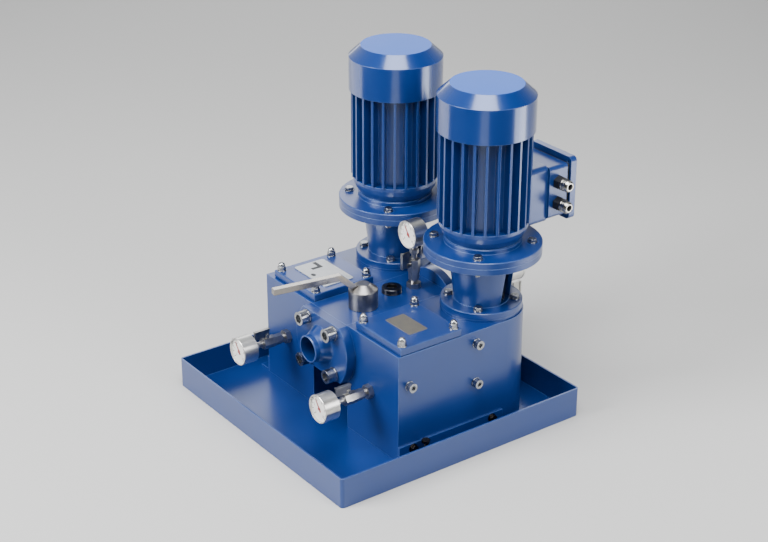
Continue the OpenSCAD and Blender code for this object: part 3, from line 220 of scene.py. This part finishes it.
def dull_black(name, colour, bloom, roughness, grain_mm, ior):
    """Moulded black rubber or plastic with a faint grey bloom and a fine moulded grain."""
    material, tree, surface, place = new_material(name)
    patch = add(tree, "TexNoise", {"Scale": 1 / (bloom_mm * MM), "Detail": 3.0}, {"Vector": place})
    tint = add(tree, "Mix", {"data_type": "RGBA", 6: linear(colour), 7: linear(bloom)},
               {0: patch.outputs["Fac"]})
    tree.links.new(tint.outputs[2], surface.inputs["Base Color"])
    grain = add(tree, "TexNoise", {"Scale": 1 / (grain_mm * MM), "Detail": 2.0}, {"Vector": place})
    normal, _ = rounded_normal(tree, 0.5)
    bump = add(tree, "Bump", {"Strength": 0.3, "Distance": 0.05 * MM},
               {"Height": grain.outputs["Fac"], "Normal": normal})
    tree.links.new(bump.outputs["Normal"], surface.inputs["Normal"])
    rough = add(tree, "MapRange", {"To Min": roughness - 0.08, "To Max": roughness + 0.08},
                {"Value": grain.outputs["Fac"]})
    tree.links.new(rough.outputs["Result"], surface.inputs["Roughness"])
    surface.inputs["IOR"].default_value = ior
    return material


# rubber drinks nearly all light and keeps only a dull sheen
nitrile = dull_black("nitrile_rubber_moulded", "#0C0C0D", "#1D1D1E", 0.62, 0.7, 1.52)
dress(nitrile, "seals")


# Cover plates: the left one is pale anodised aluminium with a filled corner mark and a dot, the right
# one is bare brushed nickel silver. Both are cut from sheet and glued down.

# brushing along the pump's width before anodising spreads the mirror across it
anodised = bright_steel("aluminium_sheet_brushed_and_anodised", "#DEE0E2", "#CACED1", 0.42, 0.5,
                        (1.0, 12.0, 1.0), 0.4)
# nickel silver is warmer and has stains about 14 mm wide from handling
stain_mm = 14
stain_place = add(anodised.node_tree, "TexCoord").outputs["Object"]
stain = add(anodised.node_tree, "TexNoise", {"Scale": 1 / (stain_mm * MM), "Detail": 3.0},
            {"Vector": stain_place})
nickel_silver = add(anodised.node_tree, "Mix", {"data_type": "RGBA", 6: linear("#9D9A93"),
                                                7: linear("#BBB39C")}, {0: stain.outputs["Fac"]})
# the pump's middle plane parts the left plate from the right one
two_colours(anodised, "place", "X", -1 * MM, 1 * MM, above=nickel_silver.outputs[2])
dress(anodised, "cover_plates")


def new_piece(name, points, faces, material, body):
    """A mesh piece in metres that rides on a body."""
    mesh = bpy.data.meshes.new(name)
    mesh.from_pydata([tuple(p) for p in points], [], faces)
    mesh.validate()
    piece = bpy.data.objects.new(name, mesh)
    bpy.context.scene.collection.objects.link(piece)
    mesh.materials.append(material)
    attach(piece, body)
    return piece


def prism(outline, low, high):
    """Points and faces of an upright prism over an outline, in millimetres turned to metres."""
    count = len(outline)
    points = [(x * MM, y * MM, z * MM) for z in (low, high) for x, y in outline]
    faces = [tuple(range(count))[::-1], tuple(range(count, 2 * count))]
    faces += [(i, (i + 1) % count, (i + 1) % count + count, i + count) for i in range(count)]
    return points, faces


# the fill lies matt and dark in the bright sheet, a hair proud of it
mark_ink = dull_black("epoxy_fill_in_an_etched_mark", "#1A1C20", "#2B2E33", 0.5, 0.6, 1.5)
plate_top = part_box("cover_plates")[1][2] / MM
mark_depth = 0.2
mark_proud = 0.15
# the corner mark is drawn from its outer corner, 24 mm wide and 22 mm long, in a 7 mm stroke
corner_outer = (-158, -18)
corner_arm = 24
corner_leg = 22
corner_stroke = 7
left, back = corner_outer
right, front = left + corner_arm, back - corner_leg
corner = [(left, back - corner_stroke), (right - corner_stroke, back - corner_stroke),
          (right - corner_stroke, front), (right, front), (right, back), (left, back)]
points, faces = prism(corner, plate_top - mark_depth, plate_top + mark_proud)
new_piece("switch_plate_corner_mark", points, faces, mark_ink, "station")
dot_middle = (-116.5, -50.7)
dot_half = (5.4, 4.0)
dot_sides = 20
dot = []
for side in range(dot_sides):
    a = 2 * math.pi * side / dot_sides
    dot.append((dot_middle[0] + dot_half[0] * math.cos(a), dot_middle[1] + dot_half[1] * math.sin(a)))
points, faces = prism(dot, plate_top - mark_depth, plate_top + mark_proud)
new_piece("switch_plate_dot", points, faces, mark_ink, "station")


# Lanterns and motor end shields: grey iron castings, turned on the joint faces, the lanterns with open
# windows at the coupling. Bolted pump to lantern and lantern to motor, and sprayed as one.

dress(enamel_on_iron, "lantern_left", "lantern_right", "endshield_left", "endshield_right",
      "rear_shields")


# Finned motor frames and terminal boxes: die-cast aluminium with thin fins and small radii, closed by
# screwed lids, sprayed blue after assembly.

# fins shed paint from their tips and hold it in the roots, so the tips show paler lines
enamel_on_casting = blue_enamel("gentian_blue_enamel_on_die_cast_aluminium", 3.0, 0.05, 1.2, 0.38)
dress(enamel_on_casting, "finned_frame_left", "finned_frame_right", "terminal_boxes", "terminal_lids")


# Fan cowls: deep drawn 1.5 mm steel sheet with a rolled shoulder and a flat crown, pushed over the end
# of the finned frame and sprayed blue.

# smooth sheet under enamel mirrors sharply; painted light: the upward-facing crown is coloured the lighter
# blue #2054AC for the light that falls on it, and its coat and specular are turned down
enamel_on_cowl = blue_enamel("gentian_blue_enamel_on_drawn_sheet_with_painted_light_crown", 3.0, 0.015, 1.6, 0.24)
cowl_tree, cowl_surface, crown = two_colours(enamel_on_cowl, "normal", "Z", 0.9, 0.99, above="#2054AC")
cowl_surface.inputs["Coat Roughness"].default_value = 0.13
for socket, side_value, crown_value in (("Coat Weight", 0.85, 0.0), ("Specular IOR Level", 1.0, 0.08)):
    crown_gloss = add(cowl_tree, "MapRange", {"To Min": side_value, "To Max": crown_value}, {"Value": crown})
    cowl_tree.links.new(crown_gloss.outputs["Result"], cowl_surface.inputs[socket])
dress(enamel_on_cowl, "fan_cowl_left", "fan_cowl_right")


# Inside the motors: stacked and varnished core plates with copper windings, rotors pressed on turned
# shafts, moulded fans on the shaft ends. Jaw couplings sit behind the lantern windows.

# varnish over thin plate edges gives a brown metal drawn in fine rings
core_plate = bright_steel("dynamo_sheet_stacked_and_varnished", "#7C5A3C", "#40291B", 0.5, 0.7,
                          (1.0, 1.0, 14.0))
dress(core_plate, "stators")
# black oxide leaves metal dark with a dull shine on the turned rings
blackened = bright_steel("steel_turned_and_blackened", "#5E5F63", "#242528", 0.3, 0.8)
dress(blackened, "motor_rotor_left", "motor_rotor_right", "coupling_left", "coupling_right",
      "relief_plug")
# moulded plastic is black with a soft grey sheen
polyamide = dull_black("polyamide_moulded_black", "#0F1012", "#1C1D20", 0.45, 0.5, 1.53)
dress(polyamide, "fan_left", "fan_right")


# Screw sets: case-hardened drive and idler screws, whirled and ground, in cast bronze inserts, with
# ball bearings above. The relief piston is ground to the same finish.

# grinding round the axis leaves a bright steel with a tight mirror
ground_steel = bright_steel("steel_hardened_and_ground", "#CFCFCD", "#9A9A99", 0.2, 0.5,
                            (1.0, 1.0, 8.0))
dress(ground_steel, "drive_screw_left", "drive_screw_right", "idler_left_front", "idler_left_rear",
      "idler_right_front", "idler_right_rear", "ball_bearings", "relief_piston")
# bored bronze is a warm yellow metal, darker where it was cast
bronze = bright_steel("bronze_cast_and_bored", "#B08A55", "#7A5A30", 0.3, 0.8)
dress(bronze, "screw_inserts")


# Cable glands: black polyamide bodies screwed into the box walls, ribbed domes of nickel plated brass
# turned from bar and screwed on them, and a rubber grommet in each, open for the cable.

# nickel over turned brass is a warm white metal that mirrors in narrow rings
nickel = bright_steel("brass_turned_and_nickel_plated", "#D8D6CF", "#8E8B83", 0.22, 0.8)
dress(polyamide, "cable_glands")


def revolve(profile, count, place):
    """Points and faces of a closed ring profile [(radius, height)] in millimetres, turned about Z."""
    points, faces = [], []
    rows = len(profile)
    for k in range(count):
        a = 2 * math.pi * k / count
        for r, h in profile:
            points.append(place @ Vector((r * math.cos(a) * MM, r * math.sin(a) * MM, h * MM)))
        for i in range(rows):
            j, n = (i + 1) % rows, (k + 1) % count
            faces.append((k * rows + i, n * rows + i, n * rows + j, k * rows + j))
    return points, faces


# the black bodies stand on the box walls here in the CAD, two on each box
gland_seat_x = 171.5
gland_y = 250.5
gland_levels = (("low", 372.5), ("high", 410.5))
gland_facets = 36
grommet_facets = 24
rib_pitch = 2.4
for side, way in (("left", -1), ("right", 1)):
    for level, z in gland_levels:
        out = (Matrix.Translation((way * gland_seat_x * MM, gland_y * MM, z * MM))
               @ Matrix.Rotation(way * math.pi / 2, 4, "Y"))
        dome = [(5.6, 12.1), (9.4, 12.1), (10.2, 13.0), (10.2, 15.0), (9.5, 16.0), (9.5, 17.0)]
        for rib in range(3):
            foot = 17.6 + rib_pitch * rib
            dome += [(10.3, foot), (10.3, foot + 1.4), (9.9, foot + 1.8)]
        dome += [(10.3, 25.0), (8.6, 28.4), (7.0, 29.2), (5.6, 29.2)]
        points, faces = revolve(dome, gland_facets, out)
        piece = new_piece("gland_dome_%s_%s" % (side, level), points, faces, nickel, "station")
        for face in piece.data.polygons:
            face.use_smooth = False
        grommet = [(3.6, 12.0), (5.55, 12.0), (5.55, 28.6), (3.6, 28.0)]
        points, faces = revolve(grommet, grommet_facets, out)
        new_piece("gland_grommet_%s_%s" % (side, level), points, faces, nitrile, "station")


# Changeover lever: a turned steel hub on the ported spindle, and a square bar of bright drawn steel,
# bent warm and pressed into the hub.

# turning marks run round the hub and blur the room into soft upright bands
hub_steel = bright_steel("steel_hub_turned_and_polished", "#A09E9D", "#6E6C6B", 0.34, 1.0,
                         (1.0, 1.0, 8.0), 0.8)
dress(hub_steel, "lever_hub")
# a turned sleeve with a chamfered shoulder and a flat crown is pressed over the hub
hub_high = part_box("lever_hub")[1][2] / MM
# radius and height from the hub's top, up the outside and over the crown
sleeve = [(24.0, -42.7), (25.2, -42.7), (25.2, -10.4), (24.7, -9.8), (11.0, 0.05), (10.6, 0.2), (0.4, 0.2),
          (0.4, -0.5)]
lever_pivot = (9.5, -34.5)
sleeve_facets = 96
points, faces = revolve([(r, hub_high + h) for r, h in sleeve], sleeve_facets,
                        Matrix.Translation((lever_pivot[0] * MM, lever_pivot[1] * MM, 0)))
new_piece("lever_hub_sleeve", points, faces, hub_steel, "changeover_lever")
bar_steel = bright_steel("square_bar_drawn_with_painted_shade_on_sides", "#D6D2CC", "#BDB9B3", 0.18, 0.6,
                         (10.0, 1.0, 10.0), 0.9)
# painted shade: the sides and underside are coloured the darker #94908B, while the upper face keeps the
# bright drawn steel colours
two_colours(bar_steel, "normal", "Z", 0.55, 0.85, below="#94908B")
dress(bar_steel, "lever_arm")


# Gauges: deep drawn stainless cases with a thin rolled bezel, white printed dials under flat glass,
# red pointers. The dials carry a plain scale with numbers.

# brushing round the case draws highlights out into soft pale bands
case_steel = bright_steel("stainless_sheet_drawn_and_brushed", "#EEEDE9", "#CFCECA", 0.3, 0.5)
dress(case_steel, "gauge_cases")


# lacquer flows out into patches about 20 mm wide
flow_mm = 20


def lacquer(name, colour, patch, roughness):
    """Smooth lacquer or printed enamel with a slight unevenness of tone."""
    material, tree, surface, place = new_material(name)
    tone = add(tree, "TexNoise", {"Scale": 1 / (flow_mm * MM), "Detail": 2.0}, {"Vector": place})
    tint = add(tree, "Mix", {"data_type": "RGBA", 6: linear(colour), 7: linear(patch)},
               {0: tone.outputs["Fac"]})
    tree.links.new(tint.outputs[2], surface.inputs["Base Color"])
    rough = add(tree, "MapRange", {"To Min": roughness, "To Max": roughness + 0.1},
                {"Value": tone.outputs["Fac"]})
    tree.links.new(rough.outputs["Result"], surface.inputs["Roughness"])
    return material


# stoved white enamel stays even and bright behind the glass, the red keeps a low gloss
dress(lacquer("dial_sheet_enamelled_white", "#FAF9F5", "#F3F2ED", 0.35), "gauge_dials")
pointer_red = lacquer("pointer_sheet_lacquered_red", "#A8231F", "#8A1B18", 0.35)
dress(pointer_red, "pointer_left", "pointer_right", "pointer_top", "pointer_rear")

# the flat glass mirrors a thin even veil of the room, which lifts the dial's black a little
glass, glass_tree, glass_surface, glass_place = new_material("instrument_glass_polished")
glass_surface.inputs["Base Color"].default_value = linear("#FFFFFF")
glass_surface.inputs["Metallic"].default_value = 1.0
glass_surface.inputs["Alpha"].default_value = 0.05
wipe_mm = 30
haze = add(glass_tree, "TexNoise", {"Scale": 1 / (wipe_mm * MM), "Detail": 2.0}, {"Vector": glass_place})
smear = add(glass_tree, "MapRange", {"To Min": 0.02, "To Max": 0.08}, {"Value": haze.outputs["Fac"]})
glass_tree.links.new(smear.outputs["Result"], glass_surface.inputs["Roughness"])
dress(glass, "gauge_windows")

# screen printed ink is flat black on the shiny enamel
dial_ink = dull_black("printing_ink_black", "#17181A", "#222326", 0.5, 0.5, 1.5)
dial_height = 24.8
dial_radius = 22.9
ink_proud = 0.06
scale_start = 225
scale_sweep = 270
ticks = 50
top_number = 10
# each tick is its length and half its width, every fifth one is long
long_tick = (4.2, 0.6)
short_tick = (2.2, 0.24)
tick_margin = 1.2
number_inset = 8.2
number_size = 6.2
# the middle of each dial's back in metres, and the way it faces
face_forward = Matrix.Rotation(math.pi / 2, 4, "X")
face_back = Matrix.Rotation(math.pi, 4, "Z") @ face_forward
gauges = {
    "left": Matrix.Translation((-0.1285, -0.175, 0.1035)) @ face_forward,
    "right": Matrix.Translation((0.1165, -0.175, 0.1035)) @ face_forward,
    "top": Matrix.Translation((0.0, 0.0926, 0.301)) @ face_forward,
    "rear": Matrix.Translation((0.1, 0.1989, 0.2375)) @ face_back,
}


def dial_print():
    """Ticks over the whole sweep and every second number, flat on the dial, in metres."""
    points, faces = [], []
    face_z = (dial_height + ink_proud) * MM
    for tick in range(ticks + 1):
        a = math.radians(scale_start - scale_sweep * tick / ticks)
        length, half = short_tick if tick % 5 else long_tick
        outer = dial_radius - tick_margin
        inner = outer - length
        along, across = Vector((math.cos(a), math.sin(a), 0)), Vector((-math.sin(a), math.cos(a), 0))
        base = len(points)
        for r, s in ((inner, -half), (outer, -half), (outer, half), (inner, half)):
            points.append((along * r + across * s) * MM + Vector((0, 0, face_z)))
        faces.append((base, base + 1, base + 2, base + 3))
    for number in range(0, top_number + 1, 2):
        a = math.radians(scale_start - scale_sweep * number / top_number)
        words = bpy.data.curves.new("number", "FONT")
        words.body = str(number)
        words.size = number_size * MM
        words.align_x = "CENTER"
        words.align_y = "CENTER"
        words.resolution_u = 2
        carrier = bpy.data.objects.new("number", words)
        bpy.context.scene.collection.objects.link(carrier)
        shape = carrier.to_mesh()
        base = len(points)
        middle = Vector((math.cos(a), math.sin(a), 0)) * (dial_radius - number_inset) * MM
        points += [v.co + middle + Vector((0, 0, face_z)) for v in shape.vertices]
        faces += [tuple(base + i for i in face.vertices) for face in shape.polygons]
        carrier.to_mesh_clear()
        bpy.data.objects.remove(carrier)
        bpy.data.curves.remove(words)
    return points, faces


scale_points, scale_faces = dial_print()
for side, stand in gauges.items():
    new_piece("dial_print_" + side, [stand @ p for p in scale_points], scale_faces, dial_ink,
              "station")


# Gauge cocks: bodies of drawn hexagon steel screwed into the housings and the block, burnished by
# handling, with flat keys pressed from stainless strip.

# drawn faces mirror the blue beside them and stay darker in the mottle
cock_steel = bright_steel("steel_hexagon_drawn_and_burnished", "#D2D1CF", "#77767A", 0.3, 0.8)
dress(cock_steel, "gauge_cocks")
# pressed strip is paler and duller than the bodies
key_steel = bright_steel("stainless_strip_pressed", "#C9C8C3", "#8B8A86", 0.3, 0.7)
dress(key_steel, "cock_handle_left", "cock_handle_right", "cock_handle_top", "cock_handle_rear")


# Studio: pale matt paper under the pump, soft boxes in front, above, right and behind. Dark and white
# boards lie on the paper around it so that upright gloss has dark and pale bands; only gloss sees them.


def matt_sheet(name, colour, tooth_mm):
    """Matt paper or board with a fine tooth."""
    material, tree, surface, place = new_material(name)
    surface.inputs["Base Color"].default_value = linear(colour)
    surface.inputs["Roughness"].default_value = 0.9
    surface.inputs["Specular IOR Level"].default_value = 0.2
    fibre = add(tree, "TexNoise", {"Scale": 1 / (tooth_mm * MM), "Detail": 2.0}, {"Vector": place})
    tooth = add(tree, "Bump", {"Strength": 0.05, "Distance": 0.2 * MM}, {"Height": fibre.outputs["Fac"]})
    tree.links.new(tooth.outputs["Normal"], surface.inputs["Normal"])
    return material


# the photograph looks this way over the ground, in degrees from X
view_heading = 143.8
board_height = 0.005


def ground(name, corners, height, material, gloss_only=False):
    """A flat sheet of studio ground, its corners given along and across the photograph's view."""
    turn = math.radians(view_heading)
    points = [(along * math.cos(turn) - across * math.sin(turn),
               along * math.sin(turn) + across * math.cos(turn), height) for along, across in corners]
    sheet = bpy.data.meshes.new(name)
    sheet.from_pydata(points, [], [tuple(range(len(points)))])
    sheet.materials.append(material)
    piece = bpy.data.objects.new(name, sheet)
    bpy.context.scene.collection.objects.link(piece)
    if gloss_only:
        piece.visible_camera = piece.visible_diffuse = piece.visible_shadow = False


ground("studio_floor", [(-9, -9), (9, -9), (9, 9), (-9, 9)], 0.0,
       matt_sheet("paper_sweep_matt_white", "#BEBEBD", 2.5))
dark_board = matt_sheet("foam_board_matt_black", "#0C0C0E", 2.0)
ground("dark_board_left", [(-2.2, 0.2), (-0.56, 0.3), (-0.5, 0.72), (0.1, 0.78), (0.1, 2.0), (-2.2, 2.0)],
       board_height, dark_board, True)
ground("dark_board_right", [(-2.2, -2.0), (-0.45, -2.0), (-0.5, -0.72), (-0.56, -0.3), (-2.2, -0.2)],
       board_height, dark_board, True)
white_board = matt_sheet("foam_board_matt_white", "#F6F6F6", 2.0)
ground("white_board_left", [(0.15, 1.0), (1.5, 1.1), (1.5, 2.6), (0.15, 2.6)],
       board_height, white_board, True)
ground("white_board_right", [(-0.25, -2.6), (0.3, -2.6), (0.3, -0.95), (-0.25, -0.85)],
       board_height, white_board, True)

world = bpy.data.worlds.new("studio")
world.use_nodes = True
sky = world.node_tree
backdrop = sky.nodes["Background"]
way = add(sky, "TexCoord").outputs["Generated"]
back_left = add(sky, "VectorMath", {"operation": "DOT_PRODUCT", 1: (-0.83, 0.35, 0.43)}, {0: way})
glow = add(sky, "MapRange", {"From Min": 0.3, "From Max": 1.0, "To Min": 0.05, "To Max": 0.8},
           {"Value": back_left.outputs["Value"]})
tone = add(sky, "Mix", {"data_type": "RGBA", 6: (0.0, 0.0, 0.0, 1.0), 7: (0.92, 0.95, 1.0, 1.0)},
           {0: glow.outputs["Result"]})
sky.links.new(tone.outputs[2], backdrop.inputs["Color"])
backdrop.inputs["Strength"].default_value = 1.0
bpy.context.scene.world = world


def soft_box(name, place, target, width, height, power):
    """A rectangular area light that faces a point."""
    lamp = bpy.data.lights.new(name, "AREA")
    lamp.shape = "RECTANGLE"
    lamp.size = width
    lamp.size_y = height
    lamp.energy = power
    stand = bpy.data.objects.new(name, lamp)
    bpy.context.scene.collection.objects.link(stand)
    stand.location = place
    stand.rotation_euler = (Vector(target) - Vector(place)).to_track_quat("-Z", "Y").to_euler()


soft_box("front_soft_box", (-0.7, -2.8, 2.0), (0, 0, 0.25), 1.6, 1.6, 195)
soft_box("top_soft_box", (0.76, -0.48, 2.7), (0, 0, 0.4), 1.5, 2.4, 120)
soft_box("right_soft_box", (2.8, 0.9, 1.7), (0, 0, 0.3), 1.4, 1.6, 60)
soft_box("back_soft_box", (-2.7, 1.9, 1.3), (0, 0, 0.3), 2.6, 1.4, 23)
soft_box("low_right_strip", (0.86, 0.8, 0.05), (0.17, 0.25, 0.4), 0.6, 0.5, 5.8)

# the camera's place, turn, lens and small shift were fitted to the photograph
camera = bpy.data.cameras.new("camera")
camera.sensor_width = 36.0
camera.lens = 80.55
camera.shift_x = 0.00896
camera.shift_y = 0.00134
camera.clip_end = 100.0
tripod = bpy.data.objects.new("camera", camera)
tripod.location = (2.1306, -1.5569, 1.5045)
tripod.rotation_euler = (math.radians(64.553), 0.0, math.radians(53.815))
bpy.context.scene.collection.objects.link(tripod)
bpy.context.scene.camera = tripod


bpy.context.view_layer.update()
